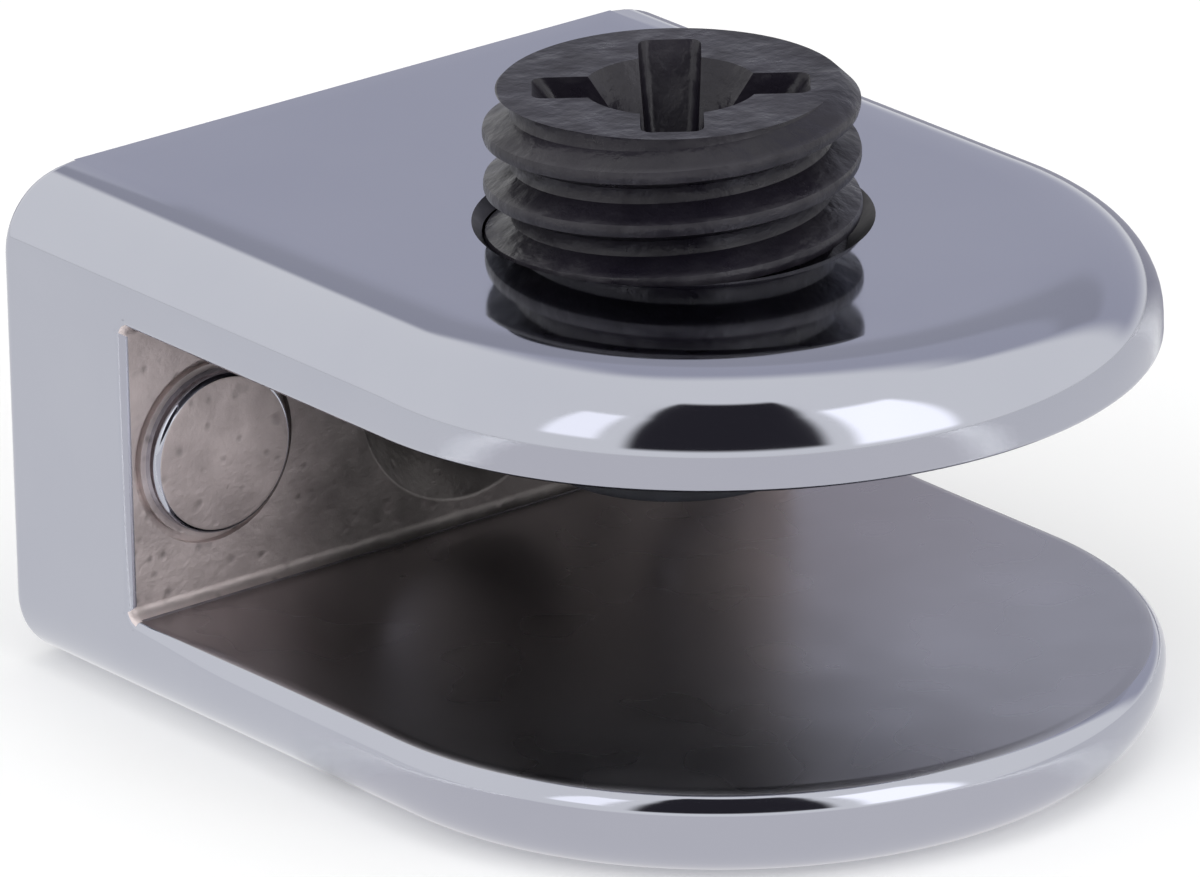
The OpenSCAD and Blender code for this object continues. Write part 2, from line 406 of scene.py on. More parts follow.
def wind(form, low, high):
    """A threaded bar between two heights, whose crest passes CREST_Z on the +X side."""
    bm = bmesh.new()
    first = math.floor((low - CREST_Z) / PITCH) - 1
    turns = math.ceil((high - CREST_Z) / PITCH) + 1 - first
    foot = CREST_Z + first * PITCH
    verts = [bm.verts.new((r, SCREW_Y, foot + h)) for r, h in form]
    edges = [bm.edges.new(pair) for pair in zip(verts, verts[1:])]
    bmesh.ops.spin(
        bm, geom=verts + edges, cent=(0, SCREW_Y, 0), axis=(0, 0, 1),
        angle=math.tau * turns, dvec=(0, 0, PITCH / TURN_STEPS), steps=TURN_STEPS * turns,
    )
    bmesh.ops.remove_doubles(bm, verts=bm.verts, dist=1e-6)
    for height, normal in ((low, (0, 0, -1)), (high, (0, 0, 1))):
        everything = bm.verts[:] + bm.edges[:] + bm.faces[:]
        bmesh.ops.bisect_plane(
            bm, geom=everything, dist=1e-7, plane_co=(0, 0, height), plane_no=normal,
            clear_outer=True,
        )
        rim = [edge for edge in bm.edges if edge.is_boundary and level(edge, 2, height)]
        bmesh.ops.contextual_create(bm, geom=rim)
    return bm


# %% Thread the hole in the upper jaw
hole_form = thread_form(SCREW_R + THREAD_GAP, ROOT_R + THREAD_GAP, 0.06 * MM)
hole = keep(wind(hole_form, SLOT_TOP - PITCH, fork_high.z + PITCH), "hole_tool")
carve(fork, hole)

# %% [markdown]
# The cuts leave new flat faces beside the rounds. Shading them by their area keeps
# each flat truly flat, which a mirror finish needs, and the end wall and its discs
# are set aside for a rougher finish: the polisher's wheel never reaches them.
# %% Shade the fork and mark its rough wall
def on_rough_wall(face):
    centre = face.center
    inside = abs(centre.z) < SLOT_TOP - 1e-5 and abs(centre.x) < HALF_W - RIM_R
    return inside and WALL_Y - DISC_H - 1e-5 < centre.y < WALL_Y + 0.27 * MM


def settle(piece, sharp=40):
    """Cleans a carved mesh, marks its sharp edges and shades the rest by face area."""
    bm = bmesh.new()
    bm.from_mesh(piece.data)
    bmesh.ops.remove_doubles(bm, verts=bm.verts, dist=2e-7)
    bmesh.ops.dissolve_degenerate(bm, edges=bm.edges, dist=2e-7)
    for face in bm.faces:
        face.smooth = True
    for edge in bm.edges:
        if len(edge.link_faces) == 2:
            edge.smooth = edge.calc_face_angle() < math.radians(sharp)
    bm.to_mesh(piece.data)
    bm.free()
    weigh = piece.modifiers.new("weigh", "WEIGHTED_NORMAL")
    weigh.keep_sharp = True
    weigh.weight = 50


def in_tapped_hole(face):
    away = Vector((face.center.x, face.center.y - SCREW_Y)).length
    return away < MOUTH_R - 1e-5 and SLOT_TOP - 1e-5 < face.center.z < fork_high.z - 1e-5


def in_fixing_hole(face):
    away = Vector((face.center.x, face.center.z)).length
    within = WALL_Y + 1e-5 < face.center.y < -1e-5
    return within and away < FIX_HEAD_R + 0.2 * MM


def in_slot_corner(face):
    """Is this a facet of the rim where it turns round an inner corner of the slot?"""
    on_side = abs(face.center.x) > HALF_W - RIM_R - 1e-5
    back = face.center.y - (WALL_Y - SLOT_R)
    out = abs(face.center.z) - (SLOT_TOP - SLOT_R)
    away = math.hypot(back, out)
    return on_side and back > 0 and out > 0 and away < SLOT_R + 0.45 * RIM_R


def on_disc_edge(face):
    away = math.hypot(abs(face.center.x) - DISC_X, face.center.z)
    raised = WALL_Y - DISC_H + 1e-6 < face.center.y < WALL_Y - 1e-5
    return raised and DISC_R - 0.25 * MM < away < DISC_R + 1e-5 and face.normal.y > -0.97


def inside_jaw(face):
    """Is this the flat of a jaw inside the slot, or the first facets of the lower rim?"""
    flat = abs(abs(face.center.z) - SLOT_TOP) < 1e-5 and abs(face.normal.z) > 0.99
    lower_rim = -SLOT_TOP - LOWER_RIM_R < face.center.z < -SLOT_TOP
    return flat or (lower_rim and face.normal.z > 0.9)


settle(fork)
CHROME, ROUGH, SATIN, TAPPED = range(4)
for face in fork.data.polygons:
    face.material_index = CHROME
    if on_disc_edge(face):
        continue
    if on_rough_wall(face) or in_fixing_hole(face) or in_slot_corner(face):
        face.material_index = ROUGH
    elif in_tapped_hole(face):
        face.material_index = TAPPED
    elif inside_jaw(face):
        face.material_index = SATIN
counts = [face.material_index for face in fork.data.polygons]
print("faces by finish:", [counts.count(index) for index in range(4)])

# %% [markdown]
# ## The screw
# The black screw starts as a turned blank with bevelled ends. The recess and the
# bore are cut while it is still a plain bar, and the thread comes last.
# %% Turn the blank
END_BEVEL = 0.5 * MM
WIDE_R = SCREW_R + 0.2 * MM
wide_in = END_BEVEL + 0.2 * MM
blank = [
    (0, SCREW_FOOT), (SCREW_R - END_BEVEL, SCREW_FOOT), (WIDE_R, SCREW_FOOT + wide_in),
    (WIDE_R, SCREW_TOP - wide_in), (SCREW_R - END_BEVEL, SCREW_TOP), (0, SCREW_TOP),
]
screw = keep(lathe(blank, (0, SCREW_Y, 0)), "clamping_screw")
print("blank:", len(screw.data.polygons), "faces")

# %% [markdown]
# Each bar of the cross is a cube drawn in towards its bottom, with its upright
# edges rounded as the real punch is. A funnel between the bars leads the driver in.
# %% Press the cross recess
RECESS_R = 4.4 * MM
RECESS_W = 2.0 * MM
RECESS_DEPTH = 3.4 * MM
RECESS_FOOT_R = 2.0 * MM
RECESS_CORE_R = 2.8 * MM
RECESS_TURN = math.radians(52)


def recess_bar(turn):
    bm = bmesh.new()
    bmesh.ops.create_cube(bm, size=1)
    rise = 1 * MM
    slant = (RECESS_R - RECESS_FOOT_R) / RECESS_DEPTH
    lean = 0.07
    tall = RECESS_DEPTH + rise
    for vert in bm.verts:
        up = vert.co.z > 0
        reach = RECESS_R + slant * rise if up else RECESS_FOOT_R
        half = RECESS_W / 2 + (lean * rise if up else -lean * RECESS_DEPTH)
        vert.co.x = math.copysign(reach, vert.co.x)
        vert.co.y = math.copysign(half, vert.co.y)
        vert.co.z = tall if up else 0
    upright = [edge for edge in bm.edges if abs(edge.verts[0].co.z - edge.verts[1].co.z) > 1e-6]
    soften(bm, upright, 0.35 * MM, 4)
    bmesh.ops.rotate(bm, verts=bm.verts, cent=(0, 0, 0), matrix=Matrix.Rotation(turn, 3, "Z"))
    bmesh.ops.translate(bm, verts=bm.verts, vec=(0, SCREW_Y, SCREW_TOP - RECESS_DEPTH))
    return keep(bm, "recess_bar")


for quarter in (0, 1):
    carve(screw, recess_bar(RECESS_TURN + quarter * math.pi / 2))
core_foot = RECESS_DEPTH + 0.2 * MM
core_slant = (RECESS_CORE_R - 0.6 * MM) / core_foot
core = [
    (0, -core_foot), (0.6 * MM, -core_foot),
    (RECESS_CORE_R + core_slant * MM, 1 * MM), (0, 1 * MM),
]
carve(screw, keep(lathe(core, (0, SCREW_Y, SCREW_TOP), steps=61), "recess_core"))

# %% Bore the tip for the pad
STEM_R = 1.6 * MM
STEM_L = 3 * MM
BEAD = 0.3 * MM
PAD_GAP = 0.08 * MM
bead_z = pad_high.z - 2 * BEAD
bore_r = STEM_R + PAD_GAP
bead_low = bead_z - BEAD - PAD_GAP
bead_high = bead_z + 2 * BEAD + PAD_GAP
bore = [
    (0, SCREW_FOOT - 1 * MM), (bore_r, SCREW_FOOT - 1 * MM), (bore_r, bead_low),
    (bore_r + BEAD, bead_low), (bore_r + BEAD, bead_high), (0, bead_high),
]
carve(screw, keep(lathe(bore, (0, SCREW_Y, 0), steps=48), "bore"))

# %% Cut the thread of the screw
bar = wind(thread_form(SCREW_R, ROOT_R, 0), SCREW_FOOT - PITCH, SCREW_TOP + PITCH)
carve(screw, keep(bar, "thread_tool"), "INTERSECT")
settle(screw, sharp=32)

# %% [markdown]
# ## The pad
# The pad is one turned piece: a disc with a rounded edge that touches the pane,
# and the stem with its bead, which snaps into the bore of the screw.
# %% Turn the pad
PAD_T = 0.8 * MM
pad_top = pad_low.z + PAD_T
soft = 0.3 * MM
lip_arc = [math.radians(90 * i / 6) for i in range(7)]
lower_lip = [(PAD_R - soft + soft * math.sin(a), pad_low.z + soft - soft * math.cos(a)) for a in lip_arc]
pad_section = [(0, pad_low.z)] + lower_lip + [
    (PAD_R, pad_top - 0.1 * MM), (PAD_R - 0.1 * MM, pad_top),
    (STEM_R, pad_top), (STEM_R, bead_z - BEAD), (STEM_R + BEAD, bead_z),
    (STEM_R, bead_z + BEAD), (STEM_R - 0.2 * MM, pad_high.z), (0, pad_high.z),
]
pad = keep(lathe(pad_section, (0, SCREW_Y, 0)), "pad", sharp=50)
print("pad:", len(pad.data.polygons), "faces")

# %% [markdown]
# ## Shared effects
# Three effects come back in several finishes, so each is a node group with named
# inputs and outputs. The first is mottle: soft patches of a chosen size between
# two values. It breaks up roughness, which is never even on a real surface.
# %% Start a node group
def new_group(name, inputs, outputs):
    group = bpy.data.node_groups.new(name, "ShaderNodeTree")
    for socket, kind, value in inputs:
        made = group.interface.new_socket(socket, in_out="INPUT", socket_type=kind)
        if value is not None:
            made.default_value = value
    for socket, kind in outputs:
        group.interface.new_socket(socket, in_out="OUTPUT", socket_type=kind)
    return group, group.nodes.new("NodeGroupInput"), group.nodes.new("NodeGroupOutput")


def mapped(tree, source, low, high, to_low, to_high):
    """Maps a value from one range to another, smoothly and clamped."""
    node = tree.nodes.new("ShaderNodeMapRange")
    node.interpolation_type = "SMOOTHSTEP"
    for socket, value in zip(node.inputs[1:5], (low, high, to_low, to_high)):
        if isinstance(value, bpy.types.NodeSocket):
            tree.links.new(value, socket)
        else:
            socket.default_value = value
    tree.links.new(source, node.inputs["Value"])
    return node.outputs["Result"]


def calc(tree, operation, *values):
    """One Math node; each value is a number or the output of another node."""
    node = tree.nodes.new("ShaderNodeMath")
    node.operation = operation
    for socket, value in zip(node.inputs, values):
        if isinstance(value, bpy.types.NodeSocket):
            tree.links.new(value, socket)
        else:
            socket.default_value = value
    return node.outputs["Value"]


# %% Build the mottle group
FLOAT = "NodeSocketFloat"
VECTOR = "NodeSocketVector"
mottle, m_in, m_out = new_group(
    "mottle",
    [
        ("Vector", VECTOR, None), ("Scale", FLOAT, 300.0), ("Detail", FLOAT, 5.0),
        ("Low", FLOAT, 0.0), ("High", FLOAT, 1.0),
    ],
    [("Value", FLOAT)],
)
noise = mottle.nodes.new("ShaderNodeTexNoise")
for socket in ("Vector", "Scale", "Detail"):
    mottle.links.new(m_in.outputs[socket], noise.inputs[socket])
spread = mapped(mottle, noise.outputs["Fac"], 0.2, 0.8, m_in.outputs["Low"], m_in.outputs["High"])
mottle.links.new(spread, m_out.inputs["Value"])

# %% [markdown]
# The second effect is the skin of a raw casting: low bumps from the mould with
# small pits in between. It gives a height for a Bump node, and a mask of the pits.
# %% Build the cast skin group
skin, s_in, s_out = new_group(
    "cast_skin",
    [("Vector", VECTOR, None), ("Scale", FLOAT, 900.0)],
    [("Height", FLOAT), ("Pits", FLOAT)],
)
bumps = skin.nodes.new("ShaderNodeTexNoise")
bumps.inputs["Detail"].default_value = 8
bumps.inputs["Roughness"].default_value = 0.62
cells = skin.nodes.new("ShaderNodeTexVoronoi")
cells.feature = "SMOOTH_F1"
for node in (bumps, cells):
    skin.links.new(s_in.outputs["Vector"], node.inputs["Vector"])
    skin.links.new(s_in.outputs["Scale"], node.inputs["Scale"])
pits = mapped(skin, cells.outputs["Distance"], 0.0, 0.3, 1.0, 0.0)
sunk = calc(skin, "MULTIPLY_ADD", pits, -0.35, bumps.outputs["Fac"])
skin.links.new(sunk, s_out.inputs["Height"])
skin.links.new(pits, s_out.inputs["Pits"])

# %% [markdown]
# The third finds how far a point lies from an upright axis. The crests of the
# thread rub first, and a radius tells where they are.
# %% Build the rub group
rub, r_in, r_out = new_group(
    "rub",
    [("Vector", VECTOR, None), ("Axis", VECTOR, None), ("From", FLOAT, 0.0), ("To", FLOAT, 1.0)],
    [("Mask", FLOAT)],
)
offset = rub.nodes.new("ShaderNodeVectorMath")
offset.operation = "SUBTRACT"
flat = rub.nodes.new("ShaderNodeVectorMath")
flat.operation = "MULTIPLY"
flat.inputs[1].default_value = (1, 1, 0)
reach = rub.nodes.new("ShaderNodeVectorMath")
reach.operation = "LENGTH"
rub.links.new(r_in.outputs["Vector"], offset.inputs[0])
rub.links.new(r_in.outputs["Axis"], offset.inputs[1])
rub.links.new(offset.outputs["Vector"], flat.inputs[0])
rub.links.new(flat.outputs["Vector"], reach.inputs[0])
rubbed = mapped(rub, reach.outputs["Value"], r_in.outputs["From"], r_in.outputs["To"], 0.0, 1.0)
rub.links.new(rubbed, r_out.inputs["Mask"])

# %% [markdown]
# Finishes deep in the slot are painted darker, as shade, since less light gets in
# there. The same reach serves for that: it is measured from the back face, near its middle.
# %% Find how deep a place lies in the slot
def outwards(tree, place, near, far, aside=0.0):
    """0 in the depth of the slot, rising to 1 at its open sides."""
    node = use_group(tree, rub, place, Axis=(aside, 0, 0), From=near, To=far)
    return node.outputs["Mask"]


# %% [markdown]
# ## The finishes
# A short helper starts each material with its shader, its object coordinates and
# the values that are the same all over.
# %% Start a material
def new_material(name, **plain):
    made = bpy.data.materials.new(name)
    made.use_nodes = True
    shader = made.node_tree.nodes["Principled BSDF"]
    for socket, value in plain.items():
        shader.inputs[socket.replace("_", " ")].default_value = value
    place = made.node_tree.nodes.new("ShaderNodeTexCoord").outputs["Object"]
    return made, made.node_tree, shader, place


def use_group(tree, group, place, **values):
    node = tree.nodes.new("ShaderNodeGroup")
    node.node_tree = group
    tree.links.new(place, node.inputs["Vector"])
    for socket, value in values.items():
        node.inputs[socket].default_value = value
    return node


def blend_colours(tree, mask, first, second):
    node = tree.nodes.new("ShaderNodeMix")
    node.data_type = "RGBA"
    tree.links.new(mask, node.inputs[0])
    for socket, colour in ((node.inputs[6], first), (node.inputs[7], second)):
        if isinstance(colour, bpy.types.NodeSocket):
            tree.links.new(colour, socket)
        else:
            socket.default_value = (*colour, 1)
    return node.outputs[2]


def add_bump(tree, shader, height, distance, strength=1.0):
    node = tree.nodes.new("ShaderNodeBump")
    node.inputs["Distance"].default_value = distance
    node.inputs["Strength"].default_value = strength
    tree.links.new(height, node.inputs["Height"])
    tree.links.new(node.outputs["Normal"], shader.inputs["Normal"])
    return node


# %% [markdown]
# Chrome is nearly a mirror. What makes it read as metal is the room that it
# mirrors, so the material only adds the faint haze and ripple of a buffed casting.
# %% Make the polished chrome
chrome, tree, shader, place = new_material("polished_chrome", Metallic=1.0)
haze = use_group(tree, mottle, place, Scale=420.0, Low=0.045, High=0.085)
tree.links.new(haze.outputs["Value"], shader.inputs["Roughness"])
tone = use_group(tree, mottle, place, Scale=150.0)
tint = blend_colours(tree, tone.outputs["Value"], (0.495, 0.508, 0.572), (0.515, 0.528, 0.588))
tree.links.new(tint, shader.inputs["Base Color"])
ripple = use_group(tree, mottle, place, Scale=170.0)
add_bump(tree, shader, ripple.outputs["Value"], 0.0006 * MM)

# %% [markdown]
# Inside the slot the buffing wheel only just reaches. The plating there is satin:
# it still mirrors, but so softly that shapes melt into broad patches of tone.
# %% Make the satin chrome
satin, tree, shader, place = new_material("satin_chrome", Metallic=1.0)
haze = use_group(tree, mottle, place, Scale=300.0, Detail=1.0, Low=0.25, High=0.32)
tree.links.new(haze.outputs["Value"], shader.inputs["Roughness"])
tone = use_group(tree, mottle, place, Scale=260.0, Detail=1.0)
full = blend_colours(tree, tone.outputs["Value"], (0.44, 0.44, 0.465), (0.495, 0.495, 0.525))
# Painted shade: the satin colour darkens deep in the slot, where less light reaches.
open_end = outwards(tree, place, 13.5 * MM, 30 * MM)
tint = blend_colours(tree, open_end, (0.37, 0.34, 0.355), full)
tree.links.new(tint, shader.inputs["Base Color"])

# %% [markdown]
# The thread is tapped after plating, so its hole is bare, dull zinc. Its colour is
# painted near black as shade, since the hole lies in shadow.
# %% Make the tapped zinc
tapped, tree, shader, place = new_material("tapped_zinc", Metallic=1.0)
hole_mottle = use_group(tree, mottle, place, Scale=1200.0)
# Painted shade: the near-black colour stands in for the shadow inside the hole.
tone = blend_colours(tree, hole_mottle.outputs["Value"], (0.045, 0.043, 0.05), (0.10, 0.095, 0.105))
tree.links.new(tone, shader.inputs["Base Color"])
film = use_group(tree, mottle, place, Scale=900.0, Low=0.3, High=0.45)
tree.links.new(film.outputs["Value"], shader.inputs["Roughness"])
add_bump(tree, shader, hole_mottle.outputs["Value"], 0.004 * MM)

# %% [markdown]
# The end wall kept its cast skin under the plating. It is duller and a little
# brown, with darker pits, and it scatters light instead of mirroring it. Its colour
# is painted darker towards the depth of the slot as shade, lightest at the open left
# end, so the middle of the shaded part lies aside.
# %% Make the rough plated wall
rough, tree, shader, place = new_material("rough_plating", Metallic=0.7)
cast = use_group(tree, skin, place, Scale=1500.0)
patches = use_group(tree, mottle, place, Scale=520.0)
bright = blend_colours(tree, patches.outputs["Value"], (0.56, 0.49, 0.485), (0.82, 0.725, 0.715))
shaded_wall_colour = blend_colours(tree, patches.outputs["Value"], (0.08, 0.073, 0.071), (0.18, 0.165, 0.16))
# Painted shade: darker towards the middle of the slot, lighter at the open left end.
open_end = outwards(tree, place, 9.4 * MM, 15 * MM, aside=2.8 * MM)
base = blend_colours(tree, open_end, shaded_wall_colour, bright)
hollow = calc(tree, "MULTIPLY", cast.outputs["Pits"], 0.45)
pitted = blend_colours(tree, hollow, base, (0.16, 0.14, 0.14))
tree.links.new(pitted, shader.inputs["Base Color"])
grit = use_group(tree, mottle, place, Scale=1500.0, Low=0.34, High=0.52)
tree.links.new(grit.outputs["Value"], shader.inputs["Roughness"])
add_bump(tree, shader, cast.outputs["Height"], 0.04 * MM)

# %% [markdown]
# The screw is moulded plastic, black with a trace of violet. Its crests are
# scuffed lighter where they have turned in the metal thread.
# %% Make the black plastic
plastic, tree, shader, place = new_material("black_plastic", Specular_IOR_Level=0.4)
worn = use_group(tree, rub, place, Axis=(0, SCREW_Y, 0), From=5.75 * MM, To=6.0 * MM)
scuff = use_group(tree, mottle, place, Scale=900.0)
both = calc(tree, "MULTIPLY", worn.outputs["Mask"], scuff.outputs["Value"])
deep = use_group(tree, mottle, place, Scale=260.0)
body_colour = blend_colours(tree, deep.outputs["Value"], (0.006, 0.005, 0.009), (0.014, 0.012, 0.018))
colour = blend_colours(tree, both, body_colour, (0.029, 0.027, 0.034))
tree.links.new(colour, shader.inputs["Base Color"])
sheen = use_group(tree, mottle, place, Scale=700.0, Low=0.22, High=0.5)
tree.links.new(sheen.outputs["Value"], shader.inputs["Roughness"])
mould = use_group(tree, mottle, place, Scale=650.0)
add_bump(tree, shader, mould.outputs["Value"], 0.09 * MM)

# %% [markdown]
# The pad is soft and matt. Rubber has hardly any highlight, only a grain so fine
# that it reads as a bloom on the surface.
# %% Make the rubber
rubber, tree, shader, place = new_material("soft_rubber", Specular_IOR_Level=0.35)
bloom = use_group(tree, mottle, place, Scale=800.0)
colour = blend_colours(tree, bloom.outputs["Value"], (0.020, 0.021, 0.027), (0.036, 0.038, 0.048))
tree.links.new(colour, shader.inputs["Base Color"])
dull = use_group(tree, mottle, place, Scale=1600.0, Low=0.6, High=0.8)
tree.links.new(dull.outputs["Value"], shader.inputs["Roughness"])
grain = use_group(tree, skin, place, Scale=4000.0)
add_bump(tree, shader, grain.outputs["Height"], 0.01 * MM)

# %% [markdown]
# ## Fit the pieces to the frame
# Each piece rides on the body of the solid that it stands for, so it moves with
# that solid in every pose, and the hidden solid takes the piece's first material.
# %% Dress the solids
for finish in (chrome, rough, satin, tapped):
    fork.data.materials.append(finish)
screw.data.materials.append(plastic)
pad.data.materials.append(rubber)
dressed = [
    (fork, "fork", "clamp_body", "plated_casting"),
    (screw, "screw", "clamp_screw", "screw_plastic"),
    (pad, "pad", "pressure_pad", "pad_rubber"),
]
for piece, body, node, slot in dressed:
    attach(piece, body)
    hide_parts(node)
    frame["nodes"][node].data.materials.clear()
    frame["nodes"][node].data.materials.append(piece.data.materials[0])
print("pieces:", [piece.name for piece, *rest in dressed])

# %% [markdown]
# ## The studio
# The floor is a plain pale sheet. It is lit by the lamps and glows a little for the
# camera and in mirrors, so it reads white and still keeps the soft shadow.
# %% Lay the floor
def seen_by_eye(tree):
    """1 for what the camera sees, straight, in a mirror or through glass."""
    path = tree.nodes.new("ShaderNodeLightPath")
    straight = path.outputs["Is Camera Ray"]
    mirrored = calc(tree, "MAXIMUM", straight, path.outputs["Is Glossy Ray"])
    return calc(tree, "MAXIMUM", mirrored, path.outputs["Is Transmission Ray"])


FLOOR_Z = fork_low.z - 0.06 * MM
floor_bm = bmesh.new()
bmesh.ops.create_grid(floor_bm, x_segments=1, y_segments=1, size=1.2)
bmesh.ops.translate(floor_bm, verts=floor_bm.verts, vec=(0, SCREW_Y, FLOOR_Z))
floor = keep(floor_bm, "floor")
floor_paint, tree, shader, place = new_material("floor_paint", Roughness=1.0, Specular_IOR_Level=0.0)
shader.inputs["Base Color"].default_value = (0.8, 0.8, 0.8, 1)
shader.inputs["Emission Color"].default_value = (1, 1, 1, 1)
FLOOR_GLOW = 0.17
glow = calc(tree, "MULTIPLY", seen_by_eye(tree), FLOOR_GLOW)
tree.links.new(glow, shader.inputs["Emission Strength"])
floor.data.materials.append(floor_paint)

# %% [markdown]
# Chrome shows the studio, so the studio is built for it. A direction there is a
# bearing, 0 in front (-Y) and growing towards +X, and a height above the horizon.
# %% Name directions round the clamp
EYE_BEARING = -37.94
CARD_FAR = 0.55
CENTRE = (fork_low + fork_high) / 2


def towards(bearing, height):
    """A unit vector at a bearing and a height, both in degrees."""
    a = math.radians(bearing)
    e = math.radians(height)
    return Vector((math.sin(a) * math.cos(e), -math.cos(a) * math.cos(e), math.sin(e)))


def beside_eye(low, high):
    return (EYE_BEARING + low, EYE_BEARING + high)


# %% [markdown]
# Cards stand and lie round the clamp as a photographer sets flags and boards. Each
# one fades out towards its border, so that no hard edge shows in the chrome. This
# group gives that mask from a direction: full within Half of the bearing Middle and
# between the heights Low and High. Flare widens a card as it leans overhead.
# %% Build the card mask group
angles = ("Middle", "Half", "Low", "High", "Feather", "Flare")
card_mask, c_in, c_out = new_group(
    "card_mask", [("Vector", VECTOR, None)] + [(name, FLOAT, 0.0) for name in angles],
    [("Mask", FLOAT)],
)
middle, half, low, high, feather, flare = (c_in.outputs[name] for name in angles)
unit = card_mask.nodes.new("ShaderNodeVectorMath")
unit.operation = "NORMALIZE"
turned = card_mask.nodes.new("ShaderNodeVectorRotate")
turned.rotation_type = "Z_AXIS"
parts = card_mask.nodes.new("ShaderNodeSeparateXYZ")
card_mask.links.new(c_in.outputs["Vector"], unit.inputs[0])
card_mask.links.new(unit.outputs["Vector"], turned.inputs["Vector"])
card_mask.links.new(calc(card_mask, "SUBTRACT", math.pi / 2, middle), turned.inputs["Angle"])
card_mask.links.new(turned.outputs["Vector"], parts.inputs["Vector"])
print("card mask inputs:", [socket.name for socket in c_in.outputs][:-1])

# %% Fade the mask at its four sides
bearing = calc(card_mask, "ARCTAN2", parts.outputs["Y"], parts.outputs["X"])
height = calc(card_mask, "ARCSINE", parts.outputs["Z"])
overhead = calc(card_mask, "MAXIMUM", calc(card_mask, "SUBTRACT", height, math.radians(50)), 0.0)
reach = calc(card_mask, "MULTIPLY_ADD", overhead, flare, half)
inner = calc(card_mask, "SUBTRACT", reach, feather)
beside = mapped(card_mask, calc(card_mask, "ABSOLUTE", bearing), inner, reach, 1.0, 0.0)
above = mapped(card_mask, height, low, calc(card_mask, "ADD", low, feather), 0.0, 1.0)
below = mapped(card_mask, height, calc(card_mask, "SUBTRACT", high, feather), high, 1.0, 0.0)
both = calc(card_mask, "MULTIPLY", beside, above)
card_mask.links.new(calc(card_mask, "MULTIPLY", both, below), c_out.inputs["Mask"])

# %% [markdown]
# A card's paint glows through its mask and is clear elsewhere. Only mirrors see it.
# %% Paint a card
def paint_card(board, bearings, heights, colour, feather, flare=0.0):
    paint = bpy.data.materials.new(board.name + "_paint")
    paint.use_nodes = True
    tree = paint.node_tree
    tree.nodes.clear()
    away = tree.nodes.new("ShaderNodeVectorMath")
    away.operation = "SUBTRACT"
    away.inputs[1].default_value = CENTRE
    tree.links.new(tree.nodes.new("ShaderNodeTexCoord").outputs["Object"], away.inputs[0])
    values = (sum(bearings) / 2, (bearings[1] - bearings[0]) / 2, *heights, feather)
    settings = dict(zip(angles, map(math.radians, values)), Flare=flare)
    mask = use_group(tree, card_mask, away.outputs["Vector"], **settings)
    lit = tree.nodes.new("ShaderNodeEmission")
    lit.inputs["Color"].default_value = (*colour, 1)
    clear = tree.nodes.new("ShaderNodeBsdfTransparent")
    mix = tree.nodes.new("ShaderNodeMixShader")
    out = tree.nodes.new("ShaderNodeOutputMaterial")
    tree.links.new(mask.outputs["Mask"], mix.inputs[0])
    tree.links.new(clear.outputs[0], mix.inputs[1])
    tree.links.new(lit.outputs[0], mix.inputs[2])
    tree.links.new(mix.outputs[0], out.inputs["Surface"])
    board.data.materials.append(paint)
    for ray in ("camera", "diffuse", "shadow", "transmission", "volume_scatter"):
        setattr(board, "visible_" + ray, False)


# %% Cut the cards
def dome(name, bearings, heights, nearer=0.0):
    """A piece of a sphere round the clamp, between two bearings and two heights."""
    bm = bmesh.new()
    steps = 10
    rise = (heights[1] - heights[0]) / steps
    places = [towards(bearings[0], heights[0] + rise * step) for step in range(steps + 1)]
    column = [bm.verts.new(CENTRE + (CARD_FAR - nearer) * place) for place in places]
    edges = [bm.edges.new(pair) for pair in zip(column, column[1:])]
    turn = math.radians(bearings[1] - bearings[0])
    bmesh.ops.spin(
        bm, geom=column + edges, cent=CENTRE, axis=(0, 0, 1), angle=turn, steps=24,
    )
    return keep(bm, name)


def sheet(name, lift):
    """A flat card that lies on the floor all round the clamp."""
    bm = bmesh.new()
    bmesh.ops.create_grid(bm, x_segments=1, y_segments=1, size=CARD_FAR)
    bmesh.ops.translate(bm, verts=bm.verts, vec=(0, SCREW_Y, FLOOR_Z + lift))
    return keep(bm, name)


# %% Place the cards
flag_bearings, flag_heights = beside_eye(-29, 27), (6, 78)
flag = dome("dark_flag", beside_eye(-60, 58), flag_heights)
paint_card(flag, flag_bearings, flag_heights, (0.03, 0.028, 0.035), 5, flare=0.2)
boards = [
    ("left_box", beside_eye(-52, -33), (16, 54), (1.6, 1.6, 1.65), 4, 0.0),
    ("right_box", beside_eye(30, 62), (2, 58), (1.8, 1.8, 1.85), 5, 0.0),
    ("lilac_board", beside_eye(118, 200), (-3, 66), (0.51, 0.517, 0.602), 13, 0.0),
    ("dark_strip", beside_eye(128, 202), (24, 42), (0.43, 0.435, 0.50), 5, 0.01),
]
for name, bearings, heights, colour, feather, nearer in boards:
    paint_card(dome(name, bearings, heights, nearer), bearings, heights, colour, feather)
sheets = [
    ("lilac_sheet", beside_eye(128, 232), (0.36, 0.36, 0.42), 22),
    ("front_sheet", beside_eye(-62, 62), (0.80, 0.79, 0.81), 12),
    ("left_sheet", beside_eye(-152, -58), (0.89, 0.89, 0.90), 12),
    ("right_sheet", beside_eye(58, 136), (0.80, 0.80, 0.82), 12),
]
for place, (name, bearings, colour, feather) in enumerate(sheets):
    paint_card(sheet(name, (place + 1) * 0.01 * MM), bearings, (-90, 20), colour, feather)
print("cards stand", CARD_FAR, "m away")

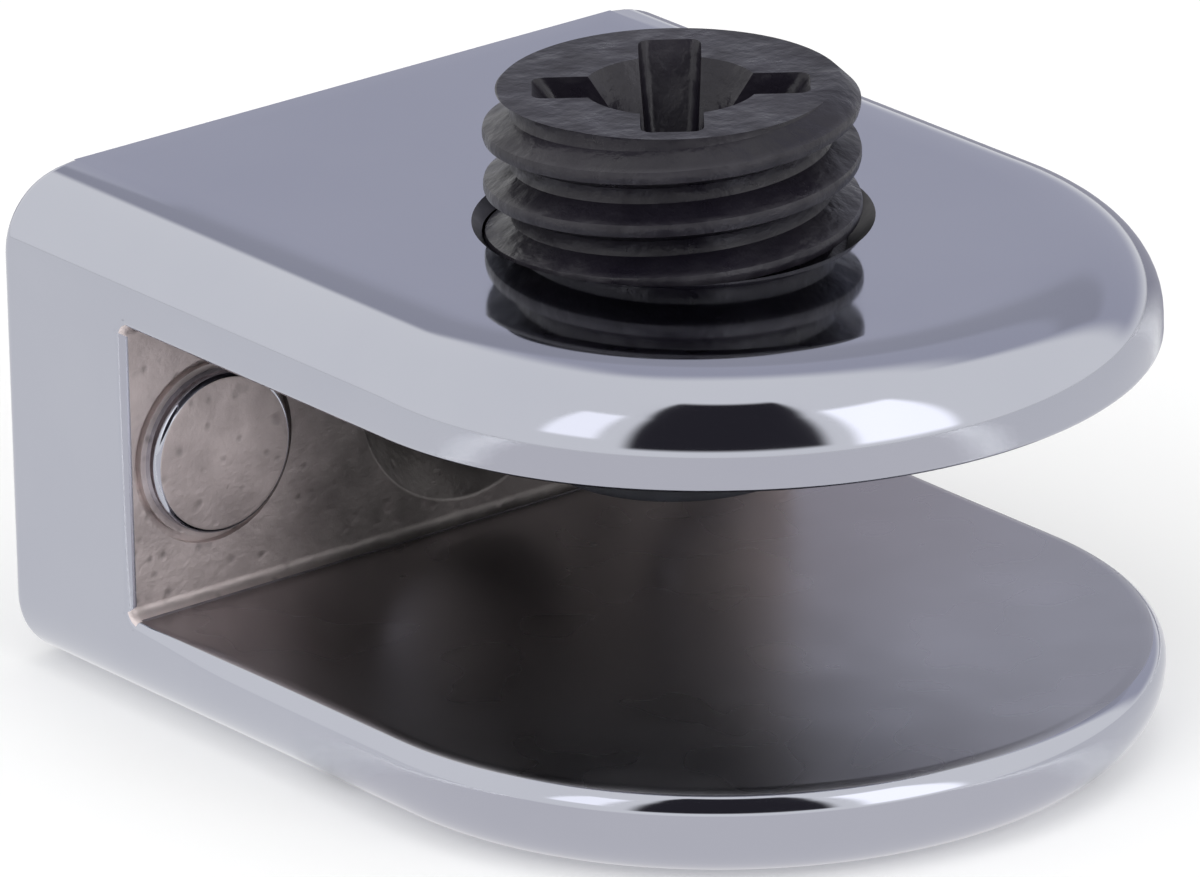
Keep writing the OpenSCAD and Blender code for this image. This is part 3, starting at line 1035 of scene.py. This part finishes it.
# %% [markdown]
# The lamps give the plain light that plastic and shadows need: one broad lamp
# overhead and one on either side. Chrome already has its cards, so the lamps stay
# out of mirrors.
# %% Hang the lamps
def lamp(name, bearing, height, distance, size, power):
    data = bpy.data.lights.new(name, "AREA")
    data.shape = "DISK"
    data.size = size
    data.energy = power
    obj = bpy.data.objects.new(name, data)
    bpy.context.scene.collection.objects.link(obj)
    back = towards(bearing, height)
    obj.location = CENTRE + back * distance
    obj.rotation_mode = "QUATERNION"
    obj.rotation_quaternion = back.to_track_quat("Z", "Y")
    obj.visible_glossy = False
    obj.visible_camera = False
    return obj


lamp("top_lamp", EYE_BEARING, 78, 0.5, 0.5, 0.6)
lamp("left_lamp", EYE_BEARING - 32, 36, 0.5, 0.35, 0.7)
lamp("right_lamp", EYE_BEARING + 46, 30, 0.5, 0.35, 0.7)

# %% Light the world
world = bpy.data.worlds.new("studio")
bpy.context.scene.world = world
world.use_nodes = True
tree = world.node_tree
sky = tree.nodes["Background"]
strength = mapped(tree, seen_by_eye(tree), 0.0, 1.0, 0.72, 1.0)
tree.links.new(strength, sky.inputs["Strength"])
sky.inputs["Color"].default_value = (1, 1, 1, 1)

# %% [markdown]
# ## The camera
# The camera looks down at the nose from the left, from so far away that the long
# lens flattens the shape. It leans by about one degree.
# %% Aim the camera
EYE_HEIGHT = 20.75
EYE_LEAN = math.radians(-1.24)
EYE_FAR = 465.6 * MM
LENS = 438.4
back = towards(EYE_BEARING, EYE_HEIGHT)
right = Vector((math.cos(math.radians(EYE_BEARING)), math.sin(math.radians(EYE_BEARING)), 0))
up = back.cross(right)
lean_right = math.cos(EYE_LEAN) * right + math.sin(EYE_LEAN) * up
lean_up = math.cos(EYE_LEAN) * up - math.sin(EYE_LEAN) * right
eye_data = bpy.data.cameras.new("eye")
eye_data.lens = LENS
eye_data.sensor_width = 36
eye_data.sensor_fit = "HORIZONTAL"
eye_data.clip_start = 0.01
eye = bpy.data.objects.new("eye", eye_data)
bpy.context.scene.collection.objects.link(eye)
place = CENTRE + back * EYE_FAR - 2.18 * MM * lean_right + 0.604 * MM * lean_up
turned = Matrix((lean_right, lean_up, back)).transposed().to_4x4()
eye.matrix_world = Matrix.Translation(place) @ turned
bpy.context.scene.camera = eye
bpy.context.scene.view_settings.view_transform = "Standard"
